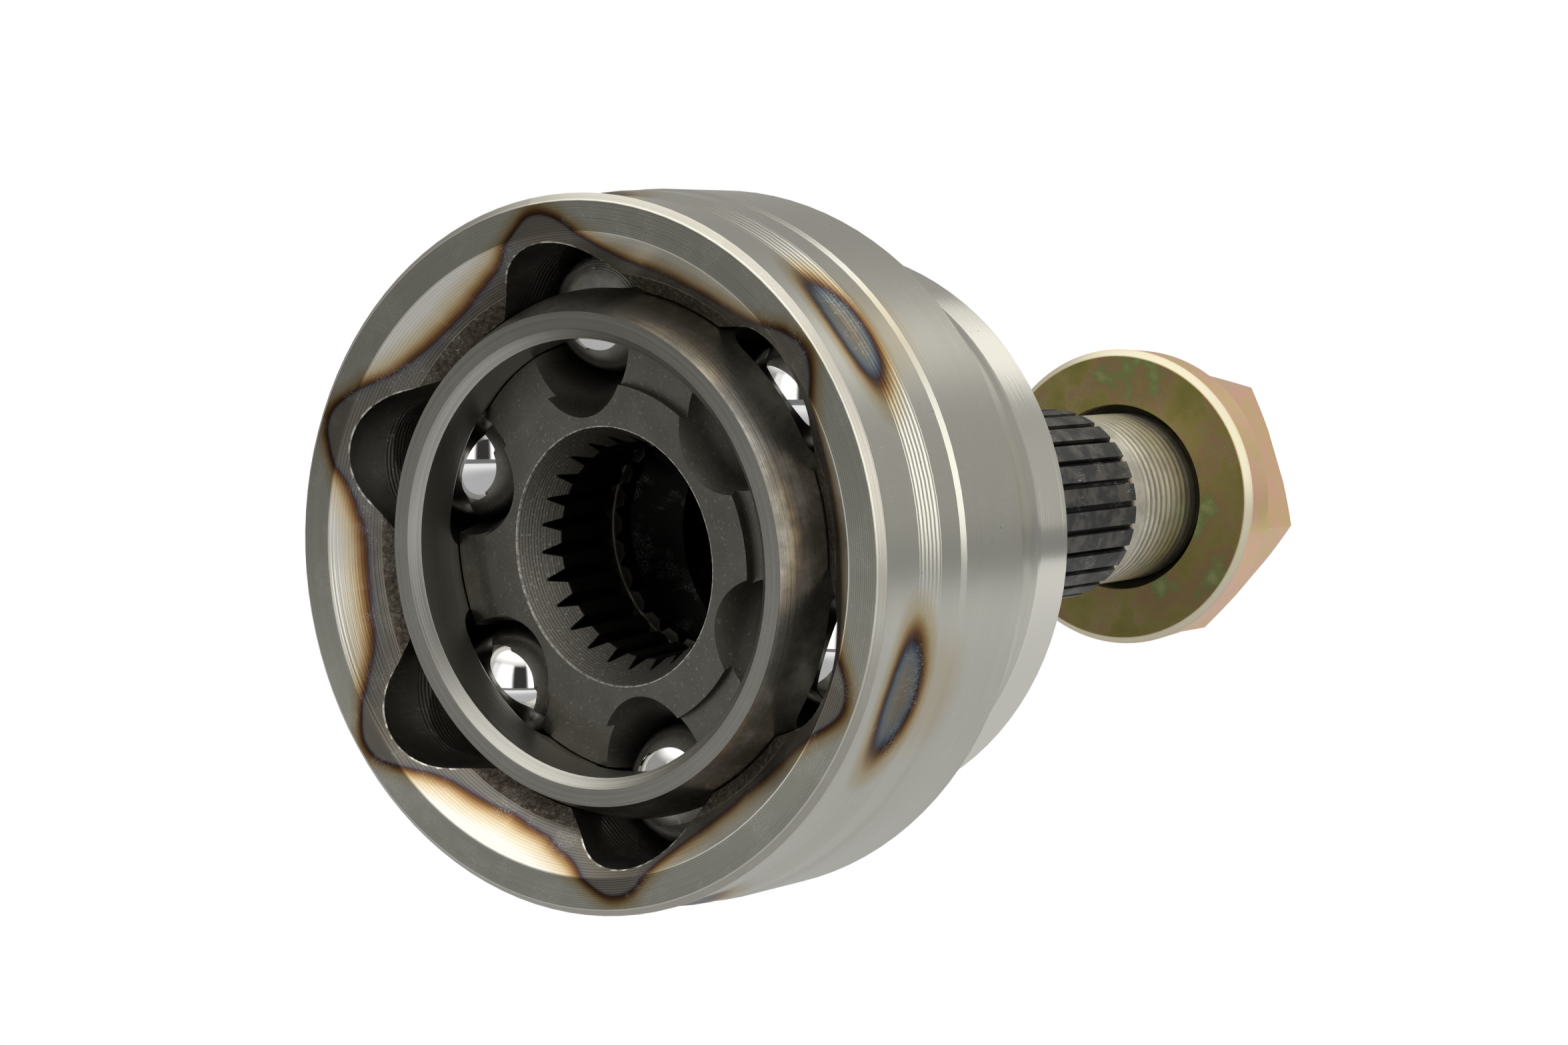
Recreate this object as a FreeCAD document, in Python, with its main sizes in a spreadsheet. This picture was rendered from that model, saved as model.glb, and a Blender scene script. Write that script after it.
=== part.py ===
"""Fixed-centre ball joint with splined stub: bell, cage, inner race, six balls and hub nut.

Frame: the origin is the joint centre, where the bell axis meets the ball plane.
+X runs along the stub towards the nut, +Z is up, lengths are in millimetres.
"""
import math
import os

import FreeCAD
import Part
import Sketcher
from FreeCAD import Placement, Rotation, Vector

doc = FreeCAD.newDocument("cv_joint")

# Driving sizes first, then sizes that follow from them.
DIMS = [
    # joint geometry
    ("ball_r", "7.54"), ("pitch_r", "28.4"), ("track_offset", "5.0"),
    ("ball_phase", "80.5"), ("rest_bend", "7.2"), ("track_gap", "0.20"),
    ("track_r", "=ball_r + track_gap"),
    ("path_r", "=sqrt(pitch_r * pitch_r + track_offset * track_offset)"),
    # bell mouth
    ("cavity_over", "3.9"), ("cavity_r", "=pitch_r + cavity_over"), ("body_wall", "10.0"),
    ("body_r", "=cavity_r + body_wall"), ("band_r", "=body_r - 0.25"), ("seat_r", "=body_r - 0.95"),
    ("lip_r", "=seat_r + 0.25"), ("face_r", "=lip_r - 0.9"), ("rim_x", "-16.0"),
    ("cone_depth", "4.5"), ("cone_inner_r", "=cavity_r + 0.3"),
    ("cone_r", "=cone_inner_r + cone_depth"), ("cone_inner_x", "=rim_x + cone_depth"),
    ("land_x", "=cone_inner_x + 1.6"), ("floor_x", "28.0"),
    ("lip_x", "=rim_x + 0.9"), ("lip_end_x", "=rim_x + 1.5"), ("seat_x", "=rim_x + 1.85"),
    ("ramp_x", "=rim_x + 8.0"), ("band_x", "=rim_x + 11.55"), ("step_x", "=rim_x + 15.7"),
    ("body_x", "=rim_x + 16.6"), ("body_end_x", "=rim_x + 28.9"), ("taper_x", "=rim_x + 29.2"),
    ("body_end_r", "=body_r - 0.25"), ("land_r", "=sqrt(cavity_r * cavity_r - land_x * land_x)"),
    ("floor_r", "=sqrt(cavity_r * cavity_r - floor_x * floor_x)"),
    # shoulder and hub side
    ("shoulder_r", "=body_r - 7.0"), ("waist_x", "26.0"), ("waist_r", "=shoulder_r + 0.8"),
    ("waist_fillet", "8.0"),
    ("shoulder_x", "29.5"), ("shoulder_end_x", "35.9"), ("back_x", "37.4"),
    ("back_r", "=shoulder_r - 1.1"),
    ("abut_x", "44.0"), ("abut_r", "=journal_r + 9.0"), ("abut_edge_x", "=abut_x - 0.8"),
    ("abut_edge_r", "=abut_r + 1.2"), ("journal_r", "=spline_r + 1.7"), ("journal_fillet", "1.6"),
    ("abut_inner_r", "=journal_r + journal_fillet"), ("journal_x", "=abut_x + journal_fillet"),
    ("journal_length", "16.0"), ("journal_end_x", "=abut_x + journal_length"),
    ("spline_x", "=journal_end_x + 1.7"), ("spline_length", "33.6"),
    ("spline_end_x", "=spline_x + spline_length"), ("spline_r", "=thread_r + 1.3"),
    ("spline_root_r", "=spline_r - 1.1"), ("spline_chamfer", "0.9"),
    ("spline_flat_x", "=spline_end_x - spline_chamfer"),
    ("thread_r", "12.0"), ("thread_length", "35.2"), ("stub_end_x", "=spline_end_x + thread_length"),
    ("stub_chamfer", "1.4"),
    ("thread_end_x", "=stub_end_x - stub_chamfer"), ("stub_tip_r", "=thread_r - stub_chamfer"),
    ("centre_r", "3.2"), ("centre_x", "=stub_end_x - 2.6"),
    ("stub_gap_top", "0.62"), ("stub_gap_root", "0.34"), ("stub_gap_reach", "=spline_r + 2.2"),
    # flared track edges of the bell
    ("flank_u", "=path_r + track_r * 0.616"), ("flank_v", "=track_r * 0.788"),
    ("flare_u", "=path_r - 5.0"), ("flare_v", "=flank_v + (flank_u - flare_u) * 0.78"),
    # wider entry of each track at the mouth
    ("entry_offset", "10.0"), ("entry_r", "=track_r + 1.11"), ("entry_path_r", "=pitch_r - 0.6"),
    ("entry_u", "=entry_path_r + entry_r * 0.616"), ("entry_v", "=entry_r * 0.788"),
    ("entry_flare_u", "=entry_path_r - 5.0"),
    ("entry_flare_v", "=entry_v + (entry_u - entry_flare_u) * 0.78"),
    # cage
    ("cage_gap", "0.2"), ("cage_r", "=cavity_r - cage_gap"), ("cage_wall", "5.35"),
    ("cage_bore_r", "=cage_r - cage_wall"), ("cage_half", "14.4"),
    ("cage_open_r", "=cage_bore_r - 1.25"), ("cage_bevel", "1.2"),
    ("window_half", "=ball_r + 0.42"), ("window_side", "=ball_r + 2.06"),
    ("window_corner", "3.2"), ("window_flat", "=window_half - window_corner"),
    ("window_edge", "=window_side - window_corner"),
    ("cage_face_r", "=sqrt(cage_r * cage_r - cage_half * cage_half)"),
    ("cage_bevel_x", "=cage_half - cage_bevel"), ("cage_bevel_r", "=cage_open_r + cage_bevel"),
    ("cage_throat_x", "=sqrt(cage_bore_r * cage_bore_r - cage_open_r * cage_open_r)"),
    # inner race
    ("race_clear", "0.15"), ("race_r", "=cage_bore_r - race_clear"), ("race_front_x", "-7.0"),
    ("race_boss_x", "-8.0"), ("race_boss_r", "=pitch_r - ball_r - 0.46"),
    ("race_back_x", "9.5"), ("race_tail_x", "11.0"), ("race_tail_r", "=race_boss_r - 0.4"),
    ("groove_r", "=track_r + 0.05"), ("bore_r", "12.9"), ("bore_mouth_r", "=bore_r + 2.4"),
    ("bore_taper_x", "=race_boss_x + 5.3"), ("bore_back_x", "=race_tail_x - 1.0"),
    ("bore_back_r", "=bore_r + 1.0"), ("ring_x", "=race_tail_x - 4.6"),
    ("ring_end_x", "=ring_x + 1.8"), ("ring_r", "=race_tooth_r + 0.35"),
    ("race_front_r", "=sqrt(race_r * race_r - race_front_x * race_front_x)"),
    ("race_back_r", "=sqrt(race_r * race_r - race_back_x * race_back_x)"),
    ("race_tooth_r", "=bore_r + 1.05"), ("race_gap_half", "1.02"), ("race_gap_tip", "0.16"),
    ("race_gap_low_r", "=bore_r - 1.0"), ("race_gap_low", "=race_gap_half + 0.45"),
    # hub nut
    ("nut_length", "16.4"), ("nut_end_x", "=stub_end_x - 0.8"), ("nut_x", "=nut_end_x - nut_length"),
    ("flange_r", "=nut_corner_r + 0.4"), ("flange_t", "6.3"),
    ("flange_round", "1.0"), ("nut_across", "36.0"), ("nut_bore_r", "=thread_r + 0.06"),
    ("nut_recess_r", "=thread_r + 1.3"), ("nut_recess", "1.6"), ("nut_turn", "41.6"),
    ("nut_flat", "=nut_across / 2"),
    ("skirt_x", "=flange_back_x + 2.4"), ("skirt_r", "=nut_recess_r + 1.7"),
    ("nut_mouth_r", "=nut_bore_r + 1.0"),
    ("nut_mouth_x", "=nut_end_x - 1.0"),
    ("nut_corner_r", "=nut_across / sqrt(3)"),
    ("flange_edge_r", "=flange_r - flange_round"), ("flange_face_x", "=nut_x + flange_round"),
    ("flange_back_x", "=nut_x + flange_t"), ("nut_bevel_r", "=nut_across / 2 + 0.4"),
    ("nut_bevel_x", "=nut_end_x - 1.5"), ("collar_r", "=nut_corner_r + 0.1"),
    ("nut_clear_r", "=nut_corner_r + 3.0"), ("nut_past_x", "=nut_end_x + 1.0"),
    ("nut_recess_x", "=nut_x + nut_recess"), ("nut_seat_x", "=nut_recess_x + 1.3"),
]
sheet = doc.addObject("Spreadsheet::Sheet", "Dims")
for row, (alias, value) in enumerate(DIMS, start=1):
    sheet.set("A%d" % row, alias)
    sheet.set("B%d" % row, value)
    sheet.setAlias("B%d" % row, alias)
doc.recompute()


def size(alias):
    """Number held by one named cell."""
    return float(getattr(sheet, alias))


def make_body(label):
    body = doc.addObject("PartDesign::Body", label)
    body.Label = label
    return body


def origin_part(body, role):
    """Origin plane or axis of a body, by its role."""
    for feature in body.Origin.OriginFeatures:
        if feature.Role == role:
            return feature
    raise ValueError(role)


def make_sketch(body, name, role, offset=None):
    """Sketch on one of the body's own origin planes, shifted along its normal by a cell."""
    sketch = body.newObject("Sketcher::SketchObject", name)
    sketch.AttachmentSupport = (origin_part(body, role), [""])
    sketch.MapMode = "FlatFace"
    if offset:
        sketch.setExpression("AttachmentOffset.Base.z", signed(offset))
    return sketch


def signed(cell):
    """Expression for a cell, which may be written with a leading minus."""
    return "-Dims." + cell[1:] if cell.startswith("-") else "Dims." + cell


def number(cell):
    if cell is None:
        return 0.0
    return -size(cell[1:]) if cell.startswith("-") else size(cell)


def bind(sketch, constraint, cell):
    index = sketch.addConstraint(constraint)
    sketch.setExpression("Constraints[%d]" % index, signed(cell))


def pin_point(sketch, edge, end, cells):
    """Tie an edge's end to two cells, or to an axis where the cell is None."""
    for kind, axis, cell in (("DistanceX", -2, cells[0]), ("DistanceY", -1, cells[1])):
        if cell is None:
            sketch.addConstraint(Sketcher.Constraint("PointOnObject", edge, end, axis))
        else:
            bind(sketch, Sketcher.Constraint(kind, -1, 1, edge, end, number(cell)), cell)


def draw_loop(sketch, points, arcs=()):
    """Closed outline through cell-named points.

    arcs maps the index of an edge's first point to (radius cell, side): side 1 bulges to
    the left of the direction of travel, side -1 to the right.
    """
    arcs = dict(arcs)
    count = len(points)
    flat = [Vector(number(x), number(y), 0) for x, y in points]
    first_end = []
    for i in range(count):
        start = flat[i]
        end = flat[(i + 1) % count]
        if i in arcs:
            radius = size(arcs[i][0])
            side = arcs[i][1]
            chord = end - start
            left = Vector(-chord.y, chord.x, 0)
            left.normalize()
            rise = math.sqrt(max(radius * radius - chord.Length ** 2 / 4.0, 0.0))
            crest = (start + end) * 0.5 + left * (side * (radius - rise))
            sketch.addGeometry(Part.Arc(start, crest, end), False)
        else:
            sketch.addGeometry(Part.LineSegment(start, end), False)
        forward = (sketch.getPoint(i, 1) - start).Length <= (sketch.getPoint(i, 1) - end).Length
        first_end.append(1 if forward else 2)
    for i in range(count):
        following = (i + 1) % count
        sketch.addConstraint(Sketcher.Constraint(
            "Coincident", i, 3 - first_end[i], following, first_end[following]))
        pin_point(sketch, i, first_end[i], points[i])
    for i in arcs:
        radius_cell = arcs[i][0]
        bind(sketch, Sketcher.Constraint("Radius", i, size(radius_cell)), radius_cell)


def turn(body, kind, name, sketch, axis, angle):
    """Revolution or groove about one of the sketch's own axes."""
    feature = body.newObject("PartDesign::" + kind, name)
    feature.Profile = sketch
    feature.ReferenceAxis = (sketch, [axis])
    feature.Angle = angle
    if angle < 360:
        feature.Midplane = True
    sketch.Visibility = False
    body.Tip = feature
    return feature


def cut(body, name, sketch, length, reversed_cut=False):
    feature = body.newObject("PartDesign::Pocket", name)
    feature.Profile = sketch
    feature.Type = "Length"
    feature.setExpression("Length", length)
    feature.Reversed = reversed_cut
    sketch.Visibility = False
    body.Tip = feature
    return feature


def around(body, name, features, count):
    """Repeat features evenly about the body's X axis."""
    before = body.Shape.Volume
    pattern = body.newObject("PartDesign::PolarPattern", name)
    pattern.Originals = features
    pattern.Axis = (origin_part(body, "X_Axis"), [""])
    pattern.Angle = 360
    pattern.Occurrences = count
    body.Tip = pattern
    doc.recompute()
    if abs(body.Shape.Volume - before) < 1.0:
        raise RuntimeError(name + " changed nothing")
    return pattern


def check_cut(body, before, name):
    doc.recompute()
    if before - body.Shape.Volume < 0.5:
        raise RuntimeError(name + " removed nothing")


# Outer race: bell, shoulder, journal, splined stub and thread, one forging.
outer_race = make_body("outer_race")
profile = make_sketch(outer_race, "bell_profile", "XY_Plane")
draw_loop(profile, [
    ("rim_x", "cone_r"), ("rim_x", "face_r"), ("lip_x", "lip_r"), ("lip_end_x", "lip_r"),
    ("seat_x", "seat_r"), ("ramp_x", "seat_r"), ("band_x", "band_r"), ("step_x", "band_r"),
    ("body_x", "body_r"), ("body_end_x", "body_r"), ("taper_x", "body_end_r"),
    ("waist_x", "waist_r"), ("shoulder_x", "shoulder_r"), ("shoulder_end_x", "shoulder_r"),
    ("back_x", "back_r"), ("abut_edge_x", "abut_edge_r"), ("abut_x", "abut_r"),
    ("abut_x", "abut_inner_r"), ("journal_x", "journal_r"), ("journal_end_x", "journal_r"),
    ("spline_x", "spline_r"), ("spline_flat_x", "spline_r"), ("spline_end_x", "thread_r"),
    ("thread_end_x", "thread_r"), ("stub_end_x", "stub_tip_r"), ("stub_end_x", "centre_r"),
    ("centre_x", None), ("floor_x", None), ("floor_x", "floor_r"), ("land_x", "land_r"),
    ("cone_inner_x", "cone_inner_r")],
    {11: ("waist_fillet", -1), 17: ("journal_fillet", -1), 28: ("cavity_r", -1)})
turn(outer_race, "Revolution", "bell", profile, "H_Axis", 360)
doc.recompute()

# Ball tracks: arcs about a centre shifted towards the mouth, with flared edges.
solid_volume = outer_race.Shape.Volume
profile = make_sketch(outer_race, "track_profile", "YZ_Plane", "-track_offset")
draw_loop(profile, [
    ("flank_u", "-flank_v"), ("flank_u", "flank_v"), ("flare_u", "flare_v"),
    ("flare_u", "-flare_v")],
    {0: ("track_r", -1)})
track = turn(outer_race, "Groove", "track", profile, "V_Axis", 124)
check_cut(outer_race, solid_volume, "track")
solid_volume = outer_race.Shape.Volume
profile = make_sketch(outer_race, "entry_profile", "YZ_Plane", "-entry_offset")
draw_loop(profile, [
    ("entry_u", "-entry_v"), ("entry_u", "entry_v"), ("entry_flare_u", "entry_flare_v"),
    ("entry_flare_u", "-entry_flare_v")],
    {0: ("entry_r", -1)})
entry = turn(outer_race, "Groove", "track_entry", profile, "V_Axis", 124)
check_cut(outer_race, solid_volume, "track_entry")
around(outer_race, "tracks", [track, entry], 6)

# Stub spline: 26 narrow spaces between broad teeth.
solid_volume = outer_race.Shape.Volume
profile = make_sketch(outer_race, "stub_gap_profile", "YZ_Plane", "spline_x")
draw_loop(profile, [
    ("spline_root_r", "-stub_gap_root"), ("spline_root_r", "stub_gap_root"),
    ("stub_gap_reach", "stub_gap_top"), ("stub_gap_reach", "-stub_gap_top")])
gap = cut(outer_race, "stub_gap", profile, "Dims.spline_end_x - Dims.spline_x + 1", True)
check_cut(outer_race, solid_volume, "stub_gap")
around(outer_race, "stub_spline", [gap], 26)

# Cage: spherical ring with six windows.
cage = make_body("cage")
profile = make_sketch(cage, "cage_profile", "XY_Plane")
draw_loop(profile, [
    ("-cage_half", "cage_bevel_r"), ("-cage_half", "cage_face_r"), ("cage_half", "cage_face_r"),
    ("cage_half", "cage_bevel_r"), ("cage_bevel_x", "cage_open_r"),
    ("cage_throat_x", "cage_open_r"), ("-cage_throat_x", "cage_open_r"),
    ("-cage_bevel_x", "cage_open_r")],
    {1: ("cage_r", 1), 5: ("cage_bore_r", -1)})
turn(cage, "Revolution", "ring", profile, "H_Axis", 360)
doc.recompute()
solid_volume = cage.Shape.Volume
profile = make_sketch(cage, "window_profile", "XZ_Plane")
draw_loop(profile, [
    ("-window_flat", "-window_side"), ("window_flat", "-window_side"),
    ("window_half", "-window_edge"), ("window_half", "window_edge"),
    ("window_flat", "window_side"), ("-window_flat", "window_side"),
    ("-window_half", "window_edge"), ("-window_half", "-window_edge")],
    {1: ("window_corner", -1), 3: ("window_corner", -1), 5: ("window_corner", -1),
     7: ("window_corner", -1)})
window = cut(cage, "window", profile, "Dims.cage_r + 4", True)
check_cut(cage, solid_volume, "window")
around(cage, "windows", [window], 6)

# Inner race: spherical land, six grooves and a splined bore with a ring groove.
inner_race = make_body("inner_race")
profile = make_sketch(inner_race, "race_profile", "XY_Plane")
draw_loop(profile, [
    ("race_boss_x", "bore_mouth_r"), ("race_boss_x", "race_boss_r"),
    ("race_front_x", "race_boss_r"), ("race_front_x", "race_front_r"),
    ("race_back_x", "race_back_r"), ("race_back_x", "race_tail_r"),
    ("race_tail_x", "race_tail_r"), ("race_tail_x", "bore_back_r"), ("bore_back_x", "bore_r"),
    ("ring_end_x", "bore_r"), ("ring_end_x", "ring_r"), ("ring_x", "ring_r"),
    ("ring_x", "bore_r"), ("bore_taper_x", "bore_r")],
    {3: ("race_r", 1)})
turn(inner_race, "Revolution", "race", profile, "H_Axis", 360)
doc.recompute()
solid_volume = inner_race.Shape.Volume
profile = make_sketch(inner_race, "groove_profile", "YZ_Plane", "track_offset")
profile.addGeometry(Part.Circle(Vector(size("path_r"), 0, 0), Vector(0, 0, 1), size("groove_r")))
bind(profile, Sketcher.Constraint("Radius", 0, size("groove_r")), "groove_r")
pin_point(profile, 0, 3, ("path_r", None))
groove = turn(inner_race, "Groove", "groove", profile, "V_Axis", 124)
check_cut(inner_race, solid_volume, "groove")
around(inner_race, "grooves", [groove], 6)
solid_volume = inner_race.Shape.Volume
profile = make_sketch(inner_race, "race_gap_profile", "YZ_Plane", "race_boss_x")
draw_loop(profile, [
    ("race_gap_low_r", "-race_gap_low"), ("race_tooth_r", "-race_gap_tip"),
    ("race_tooth_r", "race_gap_tip"), ("race_gap_low_r", "race_gap_low")])
gap = cut(inner_race, "race_gap", profile, "Dims.race_tail_x - Dims.race_boss_x + 1", True)
check_cut(inner_race, solid_volume, "race_gap")
around(inner_race, "race_spline", [gap], 26)

# Hub nut: round flange that runs into a hexagon.
axle_nut = make_body("axle_nut")
profile = make_sketch(axle_nut, "nut_profile", "XY_Plane")
draw_loop(profile, [
    ("nut_x", "nut_recess_r"), ("nut_x", "flange_edge_r"), ("flange_face_x", "flange_r"),
    ("flange_back_x", "collar_r"), ("nut_bevel_x", "collar_r"),
    ("nut_end_x", "nut_bevel_r"), ("nut_end_x", "nut_mouth_r"), ("nut_mouth_x", "nut_bore_r"),
    ("nut_seat_x", "nut_bore_r"), ("nut_recess_x", "nut_recess_r")])
turn(axle_nut, "Revolution", "nut_blank", profile, "H_Axis", 360)
doc.recompute()
solid_volume = axle_nut.Shape.Volume
profile = make_sketch(axle_nut, "flat_profile", "YZ_Plane", "nut_past_x")
draw_loop(profile, [
    ("nut_flat", "-nut_clear_r"), ("nut_clear_r", "-nut_clear_r"),
    ("nut_clear_r", "nut_clear_r"), ("nut_flat", "nut_clear_r")])
flat = cut(axle_nut, "flat", profile, "Dims.nut_past_x - Dims.flange_back_x")
check_cut(axle_nut, solid_volume, "flat")
around(axle_nut, "flats", [flat], 6)
profile = make_sketch(axle_nut, "skirt_profile", "XY_Plane")
draw_loop(profile, [
    ("flange_back_x", "skirt_r"), ("flange_back_x", "collar_r"), ("skirt_x", "nut_flat"),
    ("skirt_x", "skirt_r")])
turn(axle_nut, "Revolution", "skirt", profile, "H_Axis", 360)
doc.recompute()

# Balls: each sits where its bell track crosses the plane that halves the bend.
phase = math.radians(size("ball_phase"))
bend_axis = Vector(0, math.cos(phase - math.pi / 6), math.sin(phase - math.pi / 6))
half_tilt = Rotation(bend_axis, -size("rest_bend") / 2)
ball_plane = half_tilt.multVec(Vector(1, 0, 0))
balls = []
for number_of_ball in range(6):
    angle = phase - number_of_ball * math.pi / 3
    outward = Vector(0, math.cos(angle), math.sin(angle))
    lean = math.atan2(ball_plane.dot(outward), ball_plane.x)
    swing = math.asin(size("track_offset") * math.cos(lean) / size("path_r")) - lean
    centre = Vector(-size("track_offset"), 0, 0)
    centre += Vector(1, 0, 0) * (size("path_r") * math.sin(swing))
    centre += outward * (size("path_r") * math.cos(swing))
    ball = doc.addObject("Part::Sphere", "ball_%d" % (number_of_ball + 1))
    ball.Label = ball.Name
    ball.setExpression("Radius", "Dims.ball_r")
    ball.Placement = Placement(centre, Rotation())
    balls.append(ball)

# Rest pose: the inner race is bent and the cage follows by half.
spin = Rotation(Vector(1, 0, 0), size("ball_phase"))
outer_race.Placement = Placement(Vector(), spin)
cage.Placement = Placement(Vector(), half_tilt.multiply(spin))
inner_race.Placement = Placement(
    Vector(), Rotation(bend_axis, -size("rest_bend")).multiply(spin))
axle_nut.Placement = Placement(Vector(), Rotation(Vector(1, 0, 0), size("nut_turn")))
doc.recompute()

for item in doc.Objects:
    if "Invalid" in item.State or "Error" in item.State:
        raise RuntimeError(item.Label + " did not build")

os.makedirs("parts", exist_ok=True)
for node in [outer_race, cage, inner_race, axle_nut] + balls:
    shape = node.Shape
    if shape.isNull() or not shape.isValid():
        raise RuntimeError(node.Label + " has no valid shape")
    shape.exportStep("parts/%s.step" % node.Label)
    print(node.Label, round(shape.Volume / 1000, 2), "cm3", len(shape.Faces), "faces")
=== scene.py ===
import math

import bpy
from mathutils import Matrix, Vector


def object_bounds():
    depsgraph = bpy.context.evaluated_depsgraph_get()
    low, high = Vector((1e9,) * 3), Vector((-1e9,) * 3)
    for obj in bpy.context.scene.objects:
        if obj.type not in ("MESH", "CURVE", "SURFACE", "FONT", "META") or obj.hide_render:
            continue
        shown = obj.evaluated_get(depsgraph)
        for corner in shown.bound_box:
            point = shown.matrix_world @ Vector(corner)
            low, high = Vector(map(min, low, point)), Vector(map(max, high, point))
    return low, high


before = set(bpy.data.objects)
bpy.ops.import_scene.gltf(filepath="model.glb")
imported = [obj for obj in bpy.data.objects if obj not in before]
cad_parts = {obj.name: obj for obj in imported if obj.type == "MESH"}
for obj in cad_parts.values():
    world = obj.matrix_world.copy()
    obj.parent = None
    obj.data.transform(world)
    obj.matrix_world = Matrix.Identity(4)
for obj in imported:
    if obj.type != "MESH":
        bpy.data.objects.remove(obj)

CAD_LOW, CAD_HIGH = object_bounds()
MM = 0.001

# Turn of the uppermost track about the axis, and the bend of the inner race at rest. The
# cage bends by half of it.
BALL_PHASE = math.radians(80.5)
BEND = math.radians(7.2)
BEND_AXIS = Vector((0, math.cos(BALL_PHASE - math.pi / 6),
                    math.sin(BALL_PHASE - math.pi / 6)))

# Places and sizes that the finishes follow, in millimetres. X runs from the mouth to the nut.
# Bell: mouth face, cone inside it, narrow land, lip, ramp, shoulder.
RIM_X = -16.0
FACE_INNER_R = 37.0
CONE_SUM, CONE_END_X = 21.1, -11.5
LAND_R, LAND_END_X, LAND_SLOPE = 32.6, -9.88, 1.156
LIP_END_X, LIP_R = -15.05, 40.85
RAMP_FROM, RAMP_TO = -8.0, -4.45
SHOULDER_FROM, SHOULDER_TO, SHOULDER_X, SHOULDER_LENGTH = 28.9, 38.0, 29.6, 6.2
# Cavity: its wall's outer limit, where that narrows, and its floor.
CAVITY_LIMIT_R, CAVITY_NARROWS_X, CAVITY_NARROWING, CAVITY_FLOOR_X = 37.25, 5.0, 0.35, 28.05
# Widened entry of each ball track: arc centre, arc radius and track radius.
ENTRY_OFFSET, ENTRY_PATH, ENTRY_R = 10.0, 27.8, 8.85
# Heat: scalloped edge on the mouth, an oval spot outside over each track, and a halo behind
# it. A lobe's place and width are in radians.
SCALLOP_R, LOBE_HEIGHT, LOBE_AT, LOBE_WIDTH, LOBE_POWER = 33.3, 6.5, 0.026, 0.166, 2.2
EDGE_WANDER, SPOT_WANDER, SPOT_FALL = 1.6, 0.4, 3.0
SPOT_R, SPOT_X, SPOT_HALF_LENGTH, SPOT_HALF_WIDTH = 41.5, -8.1, 2.9, 7.4
HALO_X, HALO_HALF_LENGTH, HALO_HALF_WIDTH, HALO_INNER_R = -2.5, 6.5, 9.0, 40.9
# Stub.
SPLINE_X, SPLINE_END, SPLINE_ROOT_R = 60.5, 95.35, 12.6
THREAD_X, THREAD_FADE, THREAD_PITCH = 98.6, 2.5, 1.5
# Cage.
CAGE_FACE_X, CAGE_BEVEL_END_X, CAGE_BEVEL_R, CAGE_SHELL_R = -14.36, -13.15, 26.75, 31.95
# Inner race: boss face, bore, chamfer, snap ring groove and the far ends of the teeth.
BOSS_X, BORE_R, CHAMFER_R, CHAMFER_SLOPE, CHAMFER_END_X = -8.0, 15.2, 15.3, 0.4528, -2.6
TOOTH_TIP_R, TOOTH_ROOT_R = 12.95, 13.3
GROOVE_X, GROOVE_END_X, TOOTH_END_X, TOOTH_END_TO = 6.18, 6.5, 8.05, 8.35
# Hub nut.
FLANGE_X, FLANGE_RIM_R, FLANGE_RIM_X = 113.32, 20.2, 113.9
RECESS_R, RECESS_X = 13.25, 118.0
# Spacing of the turning lines and of the coarse feed rings on the ramp.
LINE_PITCH, FEED_PITCH = 0.27, 0.62

# Depths of relief, in metres. The inner parts are the cage and the inner race.
THREAD_DEPTH, CRUST_DEPTH, FEED_DEPTH = 0.0003, 0.0003, 0.00006
RING_DEPTH, INNER_RING_DEPTH, SHOULDER_FALL = 0.00004, 0.00005, 0.001

NICK_BROWN = (0.16, 0.15, 0.14, 1)
BARE_STEEL = (0.80, 0.77, 0.70, 1)


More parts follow.
